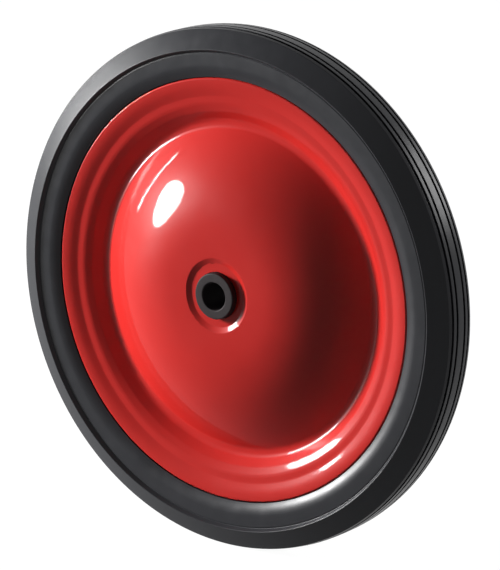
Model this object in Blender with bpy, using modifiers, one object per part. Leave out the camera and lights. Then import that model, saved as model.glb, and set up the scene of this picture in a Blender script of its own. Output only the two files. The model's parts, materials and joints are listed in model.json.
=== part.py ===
"""PVC tyred wheel: a ribbed black tyre on two pressed steel disc halves, with a plain plastic hub bush.

The wheel stands upright with its centre at the origin and its spin axis along Y. Its front faces -Y.
Each piece is drawn as a section in (radius, height along the axis) and turned about the local Z axis.
"""

import math

import bpy

# Fits
CLEARANCE = 0.0003  # between pieces that touch on the real wheel

# Hub
AXLE_DIAMETER = 0.0127
AXLE_PLAY = 0.0005  # the bore is wider than the axle by this
BUSH_WALL = 0.0044
BUSH_STAND_OUT = 0.0034  # how far each end stands out of the dimple
BUSH_CHAMFER = 0.0005
COLLAR_STEP = 0.0025  # the bush is thicker between the discs, which keeps it in place

# Pressed disc: the centre
SHEET = 0.0015
BEND = 0.0003  # inside radius of the tightest bends
DIMPLE_FLOOR = 0.0045  # flat ring round the bush
DIMPLE_WALL = 0.0021  # width of the sloping wall
DIMPLE_DEPTH = 0.0015
DOME_RADIUS = 0.082  # the dome rounds over from its flat top in this arc
FLANK_ANGLE = math.radians(28.5)  # its steepest slope, where that arc ends
FLANK_WIDTH = 0.0059
FLARE_ANGLE = math.radians(25.2)  # a gentler band, down to the crease round the dome
FLARE_WIDTH = 0.0067
CREASE_RADIUS = 0.0772  # where the dome meets the flat valley that is welded to the other half
VALLEY_RADIUS = 0.0050  # the arc in which the valley turns up into the rise

# Pressed disc: the rim
RIM_RADIUS = 0.1015
RIM_HEIGHT = 0.0091  # from the middle plane to the front of the edge
EDGE_TURN = 0.0022  # the edge is turned back this far
LIP_RADIUS = 0.0198  # the arc in which the step rounds over to the edge
STEP_ANGLE = math.radians(18.5)
STEP_WIDTH = 0.0022
LAND_ANGLE = math.radians(6)
LAND_WIDTH = 0.0028
SHOULDER_ANGLE = math.radians(18)
SHOULDER_WIDTH = 0.0014
RISE_ANGLE = math.radians(32)

# Tyre
TYRE_HEIGHT = 0.0235  # from the rim's edge to the crown of the tread
TYRE_WIDTH = 0.0260
CROWN_DROP = 0.0008  # the tread falls by this from its middle to its shoulders
CENTRE_RIB = 0.0044
RIB_WIDTH = 0.0020
SHOULDER_RIB = 0.0017
TREAD_GROOVE = 0.00135
TREAD_GROOVE_DEPTH = 0.0010
RIBS_EACH_SIDE = 2
INNER_WALL_HEIGHT = 0.0112  # the smooth sidewall, from the rim up to the moulded line
WALL_RADIUS = 0.0146  # its foot is round
WALL_FOOT_ANGLE = math.radians(30)
WALL_ANGLE = math.radians(5)  # its slope above the foot
LINE_WIDTH = 0.0005  # the moulded line: a fine groove at the foot of a step
LINE_DEPTH = 0.0003
LINE_STEP_WIDTH = 0.0014
LINE_STEP_RISE = 0.0020

DISC_STEPS = 44
BUSH_STEPS = 24
DOME_PIECES = 5
VALLEY_PIECES = 3
LIP_PIECES = 3
WALL_PIECES = 3
ARC_PIECE = math.radians(55)  # a bend has one facet for each turn of about this size
SHARP_ANGLE = math.radians(40)  # edges that turn by more are shaded as edges

# Sizes that follow from the ones above
HALF_GAP = CLEARANCE / 2
BORE_RADIUS = (AXLE_DIAMETER + AXLE_PLAY) / 2
BUSH_RADIUS = BORE_RADIUS + BUSH_WALL
HOLE_RADIUS = BUSH_RADIUS + CLEARANCE
TIGHT = SHEET + BEND  # outside radius of the tightest bends

RED_PAINT = (0.62, 0.022, 0.018, 1)
BLACK_PVC = (0.018, 0.018, 0.020, 1)
GREY_PLASTIC = (0.045, 0.042, 0.043, 1)


def clear_scene():
    for thing in list(bpy.data.objects):
        bpy.data.objects.remove(thing, do_unlink=True)


def material(name, colour, roughness):
    made = bpy.data.materials.new(name)
    made.use_nodes = True
    shader = made.node_tree.nodes["Principled BSDF"]
    shader.inputs["Base Color"].default_value = colour
    shader.inputs["Roughness"].default_value = roughness
    return made


def towards(start, end):
    """Unit vector and length from one point of a section to another."""
    dr, dz = end[0] - start[0], end[1] - start[1]
    length = math.hypot(dr, dz)
    return dr / length, dz / length, length


def bend(before, corner, after):
    """Points of the arc that rounds a corner. It may take half of a side that another bend shares."""
    ar, az, back = towards(corner, before)
    br, bz, ahead = towards(corner, after)
    turn = math.pi - math.acos(max(-1.0, min(1.0, ar * br + az * bz)))
    pieces = round(turn / ARC_PIECE)
    if pieces == 0:
        return [corner[:2]]
    room = min(back * (0.49 if before[2] else 0.98), ahead * (0.49 if after[2] else 0.98))
    reach = min(corner[2] * math.tan(turn / 2), room)
    radius = reach / math.tan(turn / 2)
    mid_r, mid_z, _ = towards((0, 0), (ar + br, az + bz))
    away = radius / math.cos(turn / 2)
    centre = (corner[0] + mid_r * away, corner[1] + mid_z * away)
    first = math.atan2(corner[1] + az * reach - centre[1], corner[0] + ar * reach - centre[0])
    side = 1 if ar * bz - az * br < 0 else -1
    angles = [first + side * turn * i / pieces for i in range(pieces + 1)]
    return [(centre[0] + radius * math.cos(a), centre[1] + radius * math.sin(a)) for a in angles]


def rounded(corners):
    """Section through (radius, height, bend radius) corners, with each bend drawn as an arc."""
    points = [corners[0][:2]]
    for before, corner, after in zip(corners, corners[1:], corners[2:]):
        points += bend(before, corner, after) if corner[2] else [corner[:2]]
    return points + [corners[-1][:2]]


def offset(points, distance):
    """The same section moved to its right, as seen along it, with mitred corners."""
    moved = []
    for i, (r, z) in enumerate(points):
        before = towards(points[max(i - 1, 0)], points[max(i, 1)])
        after = towards(points[min(i, len(points) - 2)], points[min(i + 1, len(points) - 1)])
        normal_r, normal_z = before[1] + after[1], -before[0] - after[0]
        share = 2 * distance / (normal_r**2 + normal_z**2)
        moved.append((r + normal_r * share, z + normal_z * share))
    return moved


def band(corner, width, slope):
    """The corner at the inner end of a straight band. A slope is positive where it rises outwards."""
    return (corner[0] - width, corner[1] - width * math.tan(slope), 0)


def arc(corner, radius, outer, inner, pieces):
    """Corners of an arc drawn inwards from a corner, between its slopes at the outer and inner end."""
    side = 1 if inner > outer else -1
    corners = []
    for i in range(1, pieces + 1):
        slope = outer + (inner - outer) * i / pieces
        r = corner[0] - side * radius * (math.sin(slope) - math.sin(outer))
        z = corner[1] - side * radius * (math.cos(outer) - math.cos(slope))
        corners.append((r, z, 0))
    return corners


def rim_corners():
    """Front of the disc's rim, from the edge in over the lip and the step to the land."""
    corners = [(RIM_RADIUS, RIM_HEIGHT, TIGHT)]
    corners += arc(corners[0], LIP_RADIUS, 0, STEP_ANGLE, LIP_PIECES)
    corners.append(band(corners[-1], STEP_WIDTH, STEP_ANGLE))
    corners.append(band(corners[-1], LAND_WIDTH, LAND_ANGLE))
    return corners


def slope_corners():
    """Front of the disc from the edge in over the rim, the rise, the valley and the dome."""
    corners = rim_corners()
    corners.append(band(corners[-1], SHOULDER_WIDTH, SHOULDER_ANGLE))
    valley = HALF_GAP + SHEET
    foot = valley + VALLEY_RADIUS * (1 - math.cos(RISE_ANGLE))
    corners.append(band(corners[-1], (corners[-1][1] - foot) / math.tan(RISE_ANGLE), RISE_ANGLE))
    corners += arc(corners[-1], VALLEY_RADIUS, RISE_ANGLE, 0, VALLEY_PIECES)
    corners.append((CREASE_RADIUS, valley, 0))
    corners.append(band(corners[-1], FLARE_WIDTH, -FLARE_ANGLE))
    corners.append(band(corners[-1], FLANK_WIDTH, -FLANK_ANGLE))
    return corners + arc(corners[-1], DOME_RADIUS, -FLANK_ANGLE, 0, DOME_PIECES)


def disc_corners():
    """Front of the pressed disc, from the hole for the bush out to the turned edge."""
    slopes = slope_corners()
    top = slopes[-1][1]
    wall = HOLE_RADIUS + DIMPLE_FLOOR
    floor = top - DIMPLE_DEPTH
    dimple = [(HOLE_RADIUS, floor, 0), (wall, floor, TIGHT), (wall + DIMPLE_WALL, top, TIGHT)]
    return dimple + slopes[::-1] + [(RIM_RADIUS, RIM_HEIGHT - EDGE_TURN, 0)]


def dimple_height():
    """Height of the dimple's floor, in front of the middle plane."""
    return disc_corners()[0][1]


def add_screw(thing, steps):
    """Turns a section all the way round the local Z axis."""
    screw = thing.modifiers.new("Turn", "SCREW")
    screw.axis = "Z"
    screw.angle = math.tau
    screw.steps = steps
    screw.render_steps = steps
    screw.use_merge_vertices = True
    screw.merge_threshold = 0.00001


def add_mirror(thing):
    """Adds the rear half of a piece that is drawn from its middle plane forwards."""
    mirror = thing.modifiers.new("Both sides", "MIRROR")
    mirror.use_axis = (False, False, True)
    mirror.use_mirror_merge = True
    mirror.merge_threshold = 0.00001


def shade_round(thing):
    """Applies the modifiers and shades the round faces smooth, with crisp edges between them."""
    graph = bpy.context.evaluated_depsgraph_get()
    mesh = bpy.data.meshes.new_from_object(thing.evaluated_get(graph))
    thing.modifiers.clear()
    thing.data = mesh
    mesh.shade_smooth()
    mesh.set_sharp_from_angle(angle=SHARP_ANGLE)


def section_object(name, points, finish, parent, collection):
    """An object that holds a section as a line in the XZ plane."""
    mesh = bpy.data.meshes.new(name)
    edges = [(i, i + 1) for i in range(len(points) - 1)]
    mesh.from_pydata([(r, 0, z) for r, z in points], edges, [])
    mesh.materials.append(finish)
    thing = bpy.data.objects.new(name, mesh)
    thing.parent = parent
    collection.objects.link(thing)
    return thing


def pressed_disc(name, turned_round, finish, parent, collection):
    """One half of the wheel's disc: sheet steel, turned from its front and given its thickness."""
    disc = section_object(name, rounded(disc_corners()), finish, parent, collection)
    disc.rotation_euler = (math.pi if turned_round else 0, 0, 0)
    add_screw(disc, DISC_STEPS)
    sheet = disc.modifiers.new("Sheet", "SOLIDIFY")
    sheet.thickness = SHEET
    sheet.offset = -1
    sheet.use_even_offset = True
    shade_round(disc)


def tyre_seat():
    """The tyre's foot, which fills the channel between the two rims and laps round the turned edge."""
    channel = offset([corner[:2] for corner in rim_corners()[::-1]], SHEET + CLEARANCE)
    end_r, end_z = channel.pop()
    last_r, last_z = channel[-1]
    notch_r = RIM_RADIUS - SHEET - CLEARANCE
    notch_z = RIM_HEIGHT - EDGE_TURN - CLEARANCE
    behind_lip = last_z + (end_z - last_z) * (notch_r - last_r) / (end_r - last_r)
    return channel + [(notch_r, behind_lip), (notch_r, notch_z), (RIM_RADIUS + CLEARANCE, notch_z)]


def tread():
    """Ribs and grooves of the tread, from its shoulder to the middle."""
    crown = RIM_RADIUS + TYRE_HEIGHT
    half = CENTRE_RIB / 2 + RIBS_EACH_SIDE * TREAD_GROOVE + (RIBS_EACH_SIDE - 1) * RIB_WIDTH + SHOULDER_RIB

    def radius(z):
        return crown - CROWN_DROP * (z / half) ** 4

    points = [(radius(half), half)]
    z = half - SHOULDER_RIB
    for _ in range(RIBS_EACH_SIDE):
        points.append((radius(z), z))
        points.append((radius(z) - TREAD_GROOVE_DEPTH, z))
        z -= TREAD_GROOVE
        points.append((radius(z) - TREAD_GROOVE_DEPTH, z))
        points.append((radius(z), z))
        z -= RIB_WIDTH
    return points + [(crown, 0)]


def sidewall(start):
    """The inner sidewall with its round foot, then the moulded line and the frontmost edge."""
    front = TYRE_WIDTH / 2
    line = (start[0] + INNER_WALL_HEIGHT, front - LINE_STEP_RISE + LINE_DEPTH)
    foot = WALL_RADIUS * (math.sin(WALL_FOOT_ANGLE) - math.sin(WALL_ANGLE))
    wall = band(line, INNER_WALL_HEIGHT - foot, WALL_ANGLE / 2)
    inwards = [line, wall[:2]]
    inwards += [corner[:2] for corner in arc(wall, WALL_RADIUS, WALL_ANGLE, WALL_FOOT_ANGLE, WALL_PIECES)]
    groove = (line[0] + LINE_WIDTH, line[1] - LINE_DEPTH)
    return [start] + inwards[::-1] + [groove, (groove[0] + LINE_STEP_WIDTH, front)]


def add_tyre(finish, parent, collection):
    seat = tyre_seat()
    half = [(seat[0][0], 0)] + seat[:-1] + sidewall(seat[-1]) + tread()
    tyre = section_object("tyre", half, finish, parent, collection)
    add_screw(tyre, DISC_STEPS)
    add_mirror(tyre)
    shade_round(tyre)


def add_bush(finish, parent, collection):
    """Plain bush: a thick tube with a collar between the two discs."""
    end = dimple_height() + BUSH_STAND_OUT
    collar = dimple_height() - SHEET - CLEARANCE
    half = [
        (BORE_RADIUS, 0),
        (BORE_RADIUS, end - BUSH_CHAMFER),
        (BORE_RADIUS + BUSH_CHAMFER, end),
        (BUSH_RADIUS - BUSH_CHAMFER, end),
        (BUSH_RADIUS, end - BUSH_CHAMFER),
        (BUSH_RADIUS, collar),
        (BUSH_RADIUS + COLLAR_STEP, collar),
        (BUSH_RADIUS + COLLAR_STEP, 0),
    ]
    bush = section_object("hub_bush", half, finish, parent, collection)
    add_screw(bush, BUSH_STEPS)
    add_mirror(bush)
    shade_round(bush)


def build_wheel():
    collection = bpy.data.collections.new("pvc tyred wheel")
    bpy.context.scene.collection.children.link(collection)
    axis = bpy.data.objects.new("wheel_axis", None)
    axis.rotation_euler = (math.pi / 2, 0, 0)
    collection.objects.link(axis)
    paint = material("red gloss paint on steel", RED_PAINT, 0.12)
    pressed_disc("front_disc", False, paint, axis, collection)
    pressed_disc("rear_disc", True, paint, axis, collection)
    add_tyre(material("black PVC", BLACK_PVC, 0.42), axis, collection)
    add_bush(material("dark grey plastic", GREY_PLASTIC, 0.5), axis, collection)


clear_scene()
build_wheel()
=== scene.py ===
"""Looks of a hand truck wheel: a ribbed black PVC tyre on a red pressed steel disc with a plastic bush.

The wheel stands upright with its centre at the origin and its axle along Y. Its front faces -Y.
Lengths are in metres.
"""

import json
import math

import bpy
from mathutils import Matrix, Quaternion, Vector

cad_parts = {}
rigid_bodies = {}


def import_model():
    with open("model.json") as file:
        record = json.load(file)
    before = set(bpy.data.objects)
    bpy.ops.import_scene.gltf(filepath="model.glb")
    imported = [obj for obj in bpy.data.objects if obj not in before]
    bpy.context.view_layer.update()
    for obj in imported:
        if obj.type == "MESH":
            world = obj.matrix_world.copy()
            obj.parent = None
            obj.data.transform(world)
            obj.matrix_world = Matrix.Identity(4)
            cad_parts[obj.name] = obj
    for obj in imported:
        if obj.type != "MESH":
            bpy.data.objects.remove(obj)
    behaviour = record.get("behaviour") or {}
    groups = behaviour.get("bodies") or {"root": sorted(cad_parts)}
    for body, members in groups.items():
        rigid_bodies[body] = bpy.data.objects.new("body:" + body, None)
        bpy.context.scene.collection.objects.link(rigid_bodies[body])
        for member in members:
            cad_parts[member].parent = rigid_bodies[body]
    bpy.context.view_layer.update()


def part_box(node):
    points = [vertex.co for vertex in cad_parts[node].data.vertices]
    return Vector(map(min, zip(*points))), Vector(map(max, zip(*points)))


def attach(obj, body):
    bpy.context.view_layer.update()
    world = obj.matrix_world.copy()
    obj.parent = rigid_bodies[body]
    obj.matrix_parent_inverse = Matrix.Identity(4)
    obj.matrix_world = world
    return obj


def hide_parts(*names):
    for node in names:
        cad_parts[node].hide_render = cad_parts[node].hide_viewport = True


for thing in list(bpy.data.objects):
    bpy.data.objects.remove(thing, do_unlink=True)
scene = bpy.context.scene
scene.view_settings.view_transform = "Standard"
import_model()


# Front disc
# The front half of the wheel's disc, pressed from one sheet of steel and sprayed with gloss red paint.
# It has a dimple round the hub, a dome, a flat valley, and a stepped rim that ends in a turned edge.

SHEET = 0.0015
INNER_BEND = 0.0003
TIGHT_BEND = SHEET + INNER_BEND
WELD_GAP = 0.0003
HUB_GAP = 0.0003
COLLAR_STEP = 0.0025
RIM_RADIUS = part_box("front_disc")[1].z
DOME_TOP = -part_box("front_disc")[0].y
HUB_HOLE_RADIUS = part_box("hub_bush")[1].z - COLLAR_STEP + HUB_GAP

RIM_HEIGHT = 0.0091
EDGE_TURN = 0.0022
LIP_RADIUS = 0.0198
STEP_SLOPE, STEP_WIDTH = math.radians(19.5), 0.0022
LAND_SLOPE, LAND_WIDTH = math.radians(6), 0.0028
SHOULDER_SLOPE, SHOULDER_WIDTH = math.radians(13), 0.0014
RELIEF_SLOPE, RELIEF_WIDTH = math.radians(23), 0.0032
RISE_SLOPE = math.radians(37)
VALLEY_BEND = 0.0050
CREASE_RADIUS = 0.0772
FLANK_SLOPE, FLANK_RADIUS = math.radians(30.5), 0.106
DOME_SLOPE, DOME_RADIUS = math.radians(20), 0.079
DIMPLE_DEPTH = 0.0011
DIMPLE_FLOOR = 0.0040
DIMPLE_WALL = 0.0026
SOFT_BEND = 0.006
CREASE_BEND = 0.004

ARC_STEP = math.radians(3)
SHARED_SIDE = 0.49
FREE_SIDE = 0.98
SHARP_EDGE = math.radians(35)
DISC_STEPS = 192
NOISE_LOW, NOISE_HIGH = 0.3, 0.7
PAINT_DEEP = (0.80, 0.031, 0.026, 1)
PAINT_BRIGHT = (0.84, 0.036, 0.030, 1)


def towards(start, end):
    """Unit vector and length from one point of a section to another."""
    dr, dh = end[0] - start[0], end[1] - start[1]
    length = math.hypot(dr, dh)
    return dr / length, dh / length, length


def bend(before, corner, after):
    """Points of the arc that rounds a corner. It leaves room where a side's other end is bent too."""
    back_r, back_h, back_length = towards(corner, before)
    ahead_r, ahead_h, ahead_length = towards(corner, after)
    between = math.acos(max(-1.0, min(1.0, back_r * ahead_r + back_h * ahead_h)))
    turn = math.pi - between
    pieces = math.ceil(turn / ARC_STEP)
    room_back = back_length * (SHARED_SIDE if before[2] else FREE_SIDE)
    room_ahead = ahead_length * (SHARED_SIDE if after[2] else FREE_SIDE)
    reach = min(corner[2] * math.tan(turn / 2), room_back, room_ahead)
    radius = reach / math.tan(turn / 2)
    mid_r, mid_h, _ = towards((0, 0), (back_r + ahead_r, back_h + ahead_h))
    away = radius / math.cos(turn / 2)
    centre_r, centre_h = corner[0] + mid_r * away, corner[1] + mid_h * away
    first = math.atan2(corner[1] + back_h * reach - centre_h, corner[0] + back_r * reach - centre_r)
    side = 1 if back_r * ahead_h - back_h * ahead_r < 0 else -1
    angles = [first + side * turn * i / pieces for i in range(pieces + 1)]
    return [(centre_r + radius * math.cos(a), centre_h + radius * math.sin(a)) for a in angles]


def rounded(corners):
    """Section through (radius, height, bend radius) corners, with each bend drawn as an arc."""
    points = [corners[0][:2]]
    for before, corner, after in zip(corners, corners[1:], corners[2:]):
        points += bend(before, corner, after) if corner[2] else [corner[:2]]
    return points + [corners[-1][:2]]


def offset(points, distance):
    """The same section moved to its right, as seen along it, with mitred corners."""
    moved = []
    for i, (r, h) in enumerate(points):
        before = towards(points[max(i - 1, 0)], points[max(i, 1)])
        after = towards(points[min(i, len(points) - 2)], points[min(i + 1, len(points) - 1)])
        normal_r, normal_h = before[1] + after[1], -before[0] - after[0]
        share = 2 * distance / (normal_r**2 + normal_h**2)
        moved.append((r + normal_r * share, h + normal_h * share))
    return moved


def turned(name, section, steps):
    """A piece turned round the axle from a closed section of (radius, height in front of the middle).

    The section is made to run clockwise, so that the faces look outwards.
    """
    area = sum(a[0] * b[1] - b[0] * a[1] for a, b in zip(section, section[1:] + section[:1]))
    if area > 0:
        section = section[::-1]
    count = len(section)
    points, faces = [], []
    for s in range(steps):
        angle = math.tau * s / steps
        points += [(r * math.cos(angle), -h, r * math.sin(angle)) for r, h in section]
        here, there = s * count, (s + 1) % steps * count
        for i in range(count):
            j = (i + 1) % count
            faces.append((here + i, here + j, there + j, there + i))
    mesh = bpy.data.meshes.new(name)
    mesh.from_pydata(points, [], faces)
    mesh.shade_smooth()
    mesh.set_sharp_from_angle(angle=SHARP_EDGE)
    piece = bpy.data.objects.new(name, mesh)
    scene.collection.objects.link(piece)
    return piece


def mirrored(half):
    """The closed section of a piece from its front half, whose ends lie in the middle plane."""
    return half + [(r, -h) for r, h in half[-2:0:-1]]


def band(corner, width, slope, radius):
    """The corner at the inner end of a straight band, and its bend radius.

    A slope is positive where the sheet rises outwards.
    """
    return (corner[0] - width, corner[1] - width * math.tan(slope), radius)


def arc(corner, radius, outer, inner):
    """Corners of an arc drawn inwards from a corner, between its slopes at the outer and inner end."""
    side = 1 if inner > outer else -1
    pieces = math.ceil(abs(inner - outer) / ARC_STEP)
    corners = []
    for i in range(1, pieces + 1):
        slope = outer + (inner - outer) * i / pieces
        r = corner[0] - side * radius * (math.sin(slope) - math.sin(outer))
        h = corner[1] - side * radius * (math.cos(outer) - math.cos(slope))
        corners.append((r, h, 0))
    return corners


def rim_corners():
    """Front of the rim, from the edge in over the lip and the step to the land."""
    corners = [(RIM_RADIUS, RIM_HEIGHT, TIGHT_BEND)]
    corners += arc(corners[0], LIP_RADIUS, 0, STEP_SLOPE)
    corners.append(band(corners[-1], STEP_WIDTH, STEP_SLOPE, SOFT_BEND))
    corners.append(band(corners[-1], LAND_WIDTH, LAND_SLOPE, SOFT_BEND))
    return corners


def rise_corners(corner):
    """Front of the rise, from the land down to the flat valley and across it to the crease."""
    corners = [band(corner, SHOULDER_WIDTH, SHOULDER_SLOPE, SOFT_BEND)]
    corners.append(band(corners[-1], RELIEF_WIDTH, RELIEF_SLOPE, SOFT_BEND))
    valley = SHEET + WELD_GAP / 2
    foot = valley + VALLEY_BEND * (1 - math.cos(RISE_SLOPE))
    width = (corners[-1][1] - foot) / math.tan(RISE_SLOPE)
    corners.append(band(corners[-1], width, RISE_SLOPE, 0))
    corners += arc(corners[-1], VALLEY_BEND, RISE_SLOPE, 0)
    return corners + [(CREASE_RADIUS, valley, CREASE_BEND)]


def dome_corners(crease):
    """Front of the dome, from the crease up its straight flank and over two arcs to its flat top."""
    flank_arc = FLANK_RADIUS * (math.cos(DOME_SLOPE) - math.cos(FLANK_SLOPE))
    dome_arc = DOME_RADIUS * (1 - math.cos(DOME_SLOPE))
    width = (DOME_TOP - crease[1] - flank_arc - dome_arc) / math.tan(FLANK_SLOPE)
    corners = [band(crease, width, -FLANK_SLOPE, 0)]
    corners += arc(corners[-1], FLANK_RADIUS, -FLANK_SLOPE, -DOME_SLOPE)
    return corners + arc(corners[-1], DOME_RADIUS, -DOME_SLOPE, 0)


def sheet_section():
    """Closed section of the sheet: its front from the hub's hole to the turned edge, then its back."""
    slopes = rim_corners()
    slopes += rise_corners(slopes[-1])
    slopes += dome_corners(slopes[-1])
    top = slopes[-1][1]
    wall = HUB_HOLE_RADIUS + DIMPLE_FLOOR
    floor = top - DIMPLE_DEPTH
    dimple = [(HUB_HOLE_RADIUS, floor, 0), (wall, floor, TIGHT_BEND), (wall + DIMPLE_WALL, top, TIGHT_BEND)]
    front = rounded(dimple + slopes[::-1] + [(RIM_RADIUS, RIM_HEIGHT - EDGE_TURN, 0)])
    return front + offset(front, SHEET)[::-1]


def nodes_of(name):
    """A new material with its node tree and shader."""
    made = bpy.data.materials.new(name)
    made.use_nodes = True
    tree = made.node_tree
    return made, tree, tree.nodes["Principled BSDF"]


def noise(tree, size, detail):
    """Noise whose features have about the given size on the object."""
    place = tree.nodes.new("ShaderNodeTexCoord")
    cloud = tree.nodes.new("ShaderNodeTexNoise")
    cloud.inputs["Scale"].default_value = 1 / size
    cloud.inputs["Detail"].default_value = detail
    tree.links.new(place.outputs["Object"], cloud.inputs["Vector"])
    return cloud.outputs["Fac"]


def spread(tree, value, low, high, start=NOISE_LOW, end=NOISE_HIGH):
    """Turns a value between start and end, such as a noise, into one between low and high."""
    made = tree.nodes.new("ShaderNodeMapRange")
    made.inputs["From Min"].default_value = start
    made.inputs["From Max"].default_value = end
    made.inputs["To Min"].default_value = low
    made.inputs["To Max"].default_value = high
    tree.links.new(value, made.inputs["Value"])
    return made.outputs["Result"]


def colours(tree, value, low, high):
    """Turns a noise value into a colour between two others."""
    made = tree.nodes.new("ShaderNodeValToRGB")
    made.color_ramp.elements[0].position = NOISE_LOW
    made.color_ramp.elements[1].position = NOISE_HIGH
    made.color_ramp.elements[0].color = low
    made.color_ramp.elements[1].color = high
    tree.links.new(value, made.inputs["Fac"])
    return made.outputs["Color"]


def bumps(tree, value, height, under=None):
    """A bump of a real height over another one, if there is one."""
    made = tree.nodes.new("ShaderNodeBump")
    made.inputs["Distance"].default_value = height
    tree.links.new(value, made.inputs["Height"])
    if under:
        tree.links.new(under, made.inputs["Normal"])
    return made.outputs["Normal"]


paint, tree, shader = nodes_of("gloss red paint on steel")
shade = noise(tree, size=0.03, detail=3)
tree.links.new(colours(tree, shade, PAINT_DEEP, PAINT_BRIGHT), shader.inputs["Base Color"])
dullness = noise(tree, size=0.012, detail=4)
tree.links.new(spread(tree, dullness, low=0.30, high=0.38), shader.inputs["Roughness"])
shader.inputs["Specular IOR Level"].default_value = 0.03
shader.inputs["Coat Weight"].default_value = 0.55
shader.inputs["Coat IOR"].default_value = 1.2
haze = noise(tree, size=0.008, detail=4)
tree.links.new(spread(tree, haze, low=0.03, high=0.06), shader.inputs["Coat Roughness"])
peel = bumps(tree, noise(tree, size=0.0022, detail=1), height=0.000012)
tree.links.new(peel, shader.inputs["Coat Normal"])
grain = bumps(tree, noise(tree, size=0.0009, detail=2), height=0.000006, under=peel)
tree.links.new(grain, shader.inputs["Normal"])

front_disc = turned("front_disc_paint", sheet_section(), DISC_STEPS)
front_disc.data.materials.append(paint)
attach(front_disc, "root")
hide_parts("front_disc")


# Rear disc
# The same steel pressing turned round, its valley spot-welded to the back of the front one's.
# It has the same paint.

rear_disc = turned("rear_disc_paint", [(r, -h) for r, h in sheet_section()], DISC_STEPS)
rear_disc.data.materials.append(paint)
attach(rear_disc, "root")
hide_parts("rear_disc")


# Hub bush
# A thick tube of dark grey nylon with a plain bore for the axle, standing out of the dimple.
# A collar between the two discs holds it in place.

BUSH_END = -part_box("hub_bush")[0].y
BUSH_RADIUS = HUB_HOLE_RADIUS - HUB_GAP
BORE_RADIUS = 0.0066
COLLAR_HEIGHT = DOME_TOP - DIMPLE_DEPTH - SHEET - HUB_GAP
END_BEND = 0.0006
COLLAR_BEND = 0.0002
BUSH_STEPS = 128
NYLON_DARK = (0.040, 0.032, 0.034, 1)
NYLON_LIGHT = (0.050, 0.041, 0.043, 1)

bush_half = rounded([
    (BORE_RADIUS, 0, 0),
    (BORE_RADIUS, BUSH_END, END_BEND),
    (BUSH_RADIUS, BUSH_END, END_BEND),
    (BUSH_RADIUS, COLLAR_HEIGHT, COLLAR_BEND),
    (BUSH_RADIUS + COLLAR_STEP, COLLAR_HEIGHT, COLLAR_BEND),
    (BUSH_RADIUS + COLLAR_STEP, 0, 0),
])
bush = turned("hub_bush_plastic", mirrored(bush_half), BUSH_STEPS)

plastic, tree, shader = nodes_of("dark grey nylon")
shade = noise(tree, size=0.004, detail=4)
tree.links.new(colours(tree, shade, NYLON_DARK, NYLON_LIGHT), shader.inputs["Base Color"])
dullness = noise(tree, size=0.002, detail=3)
tree.links.new(spread(tree, dullness, low=0.42, high=0.56), shader.inputs["Roughness"])
shader.inputs["Specular IOR Level"].default_value = 0.07
grain = bumps(tree, noise(tree, size=0.0004, detail=3), height=0.000015)
ripple = bumps(tree, noise(tree, size=0.003, detail=2), height=0.00003, under=grain)
tree.links.new(ripple, shader.inputs["Normal"])
bush.data.materials.append(plastic)
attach(bush, "root")
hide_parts("hub_bush")


# Tyre
# One moulding of black PVC, held in the channel between the rims of the two discs.
# Its tread has five ribs with grooves between them, and each sidewall has one fine moulded line.

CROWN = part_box("tyre")[1].z
HALF_WIDTH = -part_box("tyre")[0].y
SEAT_GAP = 0.0003
INNER_WALL_HEIGHT = 0.0112
WALL_RADIUS = 0.0146
WALL_FOOT_SLOPE, WALL_SLOPE = math.radians(30), math.radians(5)
WALL_BEND = 0.05
LINE_WIDTH, LINE_DEPTH = 0.0005, 0.0003
LINE_STEP_WIDTH, LINE_STEP_RISE = 0.0014, 0.0020
LINE_BEND = 0.0003
CHAMFER_BEND = 0.0004
MIDDLE_RIB = 0.0044
SIDE_RIB = 0.0020
OUTER_RIB = 0.0017
GROOVE_WIDTH, GROOVE_DEPTH = 0.00135, 0.0010
GROOVES_A_SIDE = 2
CROWN_DROP = 0.0008
RIB_EDGE = 0.00018
TYRE_STEPS = 192
PVC_DARK = (0.030, 0.031, 0.036, 1)
PVC_LIGHT = (0.036, 0.037, 0.043, 1)


def channel():
    """The tyre's foot in the channel, from its middle out to the turned edge, with a notch for it."""
    notch_r, notch_h = RIM_RADIUS - SHEET - SEAT_GAP, RIM_HEIGHT - EDGE_TURN - SEAT_GAP
    rim = [corner[:2] for corner in rim_corners()[::-1]]
    inside = [point for point in offset(rim, SHEET + SEAT_GAP) if point[0] < notch_r - SEAT_GAP]
    notch = [(notch_r, inside[-1][1]), (notch_r, notch_h), (RIM_RADIUS + SEAT_GAP, notch_h)]
    return [(*point, 0) for point in [(inside[0][0], 0)] + inside + notch]


def sidewall():
    """The inner wall with its round foot above the rim, the moulded line, and the frontmost edge."""
    line_height = HALF_WIDTH - LINE_STEP_RISE + LINE_DEPTH
    line = (RIM_RADIUS + SEAT_GAP + INNER_WALL_HEIGHT, line_height, LINE_BEND)
    foot = WALL_RADIUS * (math.sin(WALL_FOOT_SLOPE) - math.sin(WALL_SLOPE))
    inwards = [line, band(line, INNER_WALL_HEIGHT - foot, WALL_SLOPE / 2, WALL_BEND)]
    inwards += arc(inwards[-1], WALL_RADIUS, WALL_SLOPE, WALL_FOOT_SLOPE)
    groove = (line[0] + LINE_WIDTH, line[1] - LINE_DEPTH, LINE_BEND)
    return inwards[::-1] + [groove, (groove[0] + LINE_STEP_WIDTH, HALF_WIDTH, CHAMFER_BEND)]


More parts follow.
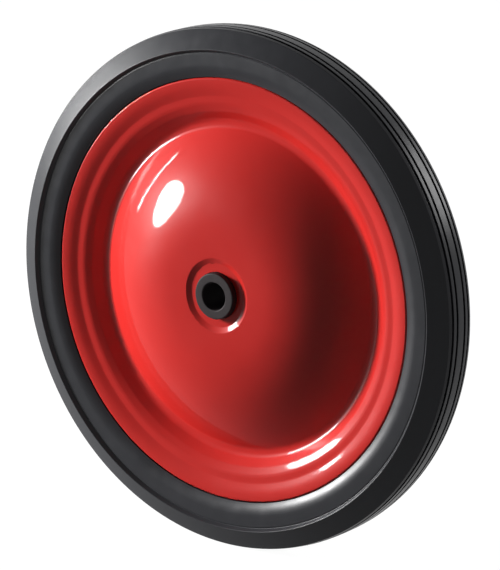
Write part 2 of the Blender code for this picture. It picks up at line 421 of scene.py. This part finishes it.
def tread():
    """Ribs and grooves from the shoulder to the middle of the tread, which is slightly crowned."""
    side_ribs = (GROOVES_A_SIDE - 1) * SIDE_RIB
    shoulder = MIDDLE_RIB / 2 + GROOVES_A_SIDE * GROOVE_WIDTH + side_ribs + OUTER_RIB

    def surface(h):
        return CROWN - CROWN_DROP * (h / shoulder) ** 4

    corners = [(surface(shoulder), shoulder, CHAMFER_BEND)]
    h = shoulder - OUTER_RIB
    for _ in range(GROOVES_A_SIDE):
        corners.append((surface(h), h, RIB_EDGE))
        corners.append((surface(h) - GROOVE_DEPTH, h, RIB_EDGE))
        h -= GROOVE_WIDTH
        corners.append((surface(h) - GROOVE_DEPTH, h, RIB_EDGE))
        corners.append((surface(h), h, RIB_EDGE))
        h -= SIDE_RIB
    return corners + [(CROWN, 0, 0)]


tyre_half = rounded(channel() + sidewall() + tread())
tyre = turned("tyre_pvc", mirrored(tyre_half), TYRE_STEPS)

pvc, tree, shader = nodes_of("black PVC")
shade = noise(tree, size=0.02, detail=4)
tree.links.new(colours(tree, shade, PVC_DARK, PVC_LIGHT), shader.inputs["Base Color"])
dullness = noise(tree, size=0.006, detail=5)
tree.links.new(spread(tree, dullness, low=0.28, high=0.34), shader.inputs["Roughness"])
shader.inputs["Specular IOR Level"].default_value = 0.14
grain = bumps(tree, noise(tree, size=0.0005, detail=3), height=0.000012)
ripple = bumps(tree, noise(tree, size=0.005, detail=2), height=0.000015, under=grain)
tree.links.new(ripple, shader.inputs["Normal"])
tyre.data.materials.append(pvc)
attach(tyre, "root")
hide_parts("tyre")


# Floor and backdrop
# A plain pale studio floor that the wheel stands on, and a plain white surround.
# Both look white to the camera and in the gloss, but throw hardly any light on the wheel.

FLOOR_REACH = 12
FLOOR_DARK = (0.10, 0.10, 0.10, 1)
FLOOR_LIGHT = (0.11, 0.11, 0.11, 1)
FLOOR_SEEN = (0.97, 0.97, 0.97, 1)
SURROUND_SEEN = (1, 1, 1, 1)
SURROUND_LIGHT = 0.006


def seen_directly(tree):
    """1 for what is seen directly, in gloss or through glass, and 0 for what lights a dull surface."""
    path = tree.nodes.new("ShaderNodeLightPath")
    total = path.outputs["Is Camera Ray"]
    for ray in ("Is Glossy Ray", "Is Transmission Ray"):
        larger = tree.nodes.new("ShaderNodeMath")
        larger.operation = "MAXIMUM"
        tree.links.new(total, larger.inputs[0])
        tree.links.new(path.outputs[ray], larger.inputs[1])
        total = larger.outputs[0]
    return total


floor_mesh = bpy.data.meshes.new("floor")
sides = ((-1, -1), (1, -1), (1, 1), (-1, 1))
floor_points = [(x * FLOOR_REACH, y * FLOOR_REACH, -CROWN) for x, y in sides]
floor_mesh.from_pydata(floor_points, [], [(0, 1, 2, 3)])
floor = bpy.data.objects.new("floor", floor_mesh)
scene.collection.objects.link(floor)
pale, tree, shader = nodes_of("pale studio floor")
shader.inputs["Roughness"].default_value = 0.9
shader.inputs["Specular IOR Level"].default_value = 0.1
shade = noise(tree, size=0.4, detail=4)
tree.links.new(colours(tree, shade, FLOOR_DARK, FLOOR_LIGHT), shader.inputs["Base Color"])
grain = bumps(tree, noise(tree, size=0.002, detail=3), height=0.00005)
tree.links.new(grain, shader.inputs["Normal"])
tree.links.new(seen_directly(tree), shader.inputs["Emission Strength"])
shader.inputs["Emission Color"].default_value = FLOOR_SEEN
floor_mesh.materials.append(pale)

world = bpy.data.worlds.new("studio")
scene.world = world
world.use_nodes = True
tree = world.node_tree
surround = tree.nodes["Background"]
surround.inputs["Color"].default_value = SURROUND_SEEN
strength = spread(tree, seen_directly(tree), low=SURROUND_LIGHT, high=1, start=0, end=1)
tree.links.new(strength, surround.inputs["Strength"])


# Lamps
# A soft box at the left lights the wheel, and a weaker one behind it on the right lights its tread.
# Two more at the left show only in the gloss: a large oval one, and a narrow slanted one.

LAMP_DISTANCE = 1.4
REAR_LAMP_DISTANCE = 1.5


def soft_box(name, direction, distance, width, height, power, roll=0.0):
    """A lamp at a distance from the wheel's centre in the given direction, facing the wheel."""
    lamp = bpy.data.lights.new(name, "AREA")
    lamp.shape = "RECTANGLE"
    lamp.size, lamp.size_y = width, height
    lamp.energy = power
    box = bpy.data.objects.new(name, lamp)
    back = Vector(direction).normalized()
    box.location = back * distance
    box.rotation_mode = "QUATERNION"
    box.rotation_quaternion = back.to_track_quat("Z", "Y") @ Quaternion((0, 0, 1), roll)
    scene.collection.objects.link(box)
    return box


key_light = soft_box(
    "left_soft_box", direction=(-0.922, -0.330, 0.195), distance=LAMP_DISTANCE,
    width=0.22, height=0.22, power=31,
)
key_light.visible_glossy = False
oval_light = soft_box(
    "front_left_soft_box", direction=(-0.835, -0.500, 0.118), distance=LAMP_DISTANCE,
    width=0.36, height=0.40, power=62,
)
oval_light.data.shape = "ELLIPSE"
oval_light.visible_diffuse = False
narrow_light = soft_box(
    "far_left_soft_box", direction=(-0.943, -0.263, 0.202), distance=LAMP_DISTANCE,
    width=0.02, height=0.56, power=4, roll=math.radians(-25),
)
narrow_light.visible_diffuse = False
soft_box(
    "rear_soft_box", direction=(0.492, 0.776, 0.395), distance=REAR_LAMP_DISTANCE,
    width=0.5, height=0.5, power=10,
)


# Camera
# A long lens more than six wheel diameters off, in front of the wheel and to its right.
# It looks down on the wheel from higher than its top. The lens and sensor sizes are in millimetres.

AZIMUTH, ELEVATION = math.radians(36.87), math.radians(14.08)
CAMERA_DISTANCE = 16 * RIM_RADIUS
AIM_RIGHT, AIM_UP = 0.0497 * RIM_RADIUS, 0.01544 * RIM_RADIUS
LENS = 217.98
SENSOR_WIDTH = 36
FAR_CLIP = 50

level = math.cos(ELEVATION)
back = Vector((math.sin(AZIMUTH) * level, -math.cos(AZIMUTH) * level, math.sin(ELEVATION)))
right = Vector((math.cos(AZIMUTH), math.sin(AZIMUTH), 0))
up = back.cross(right)
eye = bpy.data.cameras.new("camera")
eye.lens = LENS
eye.sensor_width = SENSOR_WIDTH
eye.clip_end = FAR_CLIP
camera = bpy.data.objects.new("camera", eye)
place = back * CAMERA_DISTANCE + right * AIM_RIGHT + up * AIM_UP
camera.matrix_world = Matrix.Translation(place) @ Matrix((right, up, back)).transposed().to_4x4()
scene.collection.objects.link(camera)
scene.camera = camera
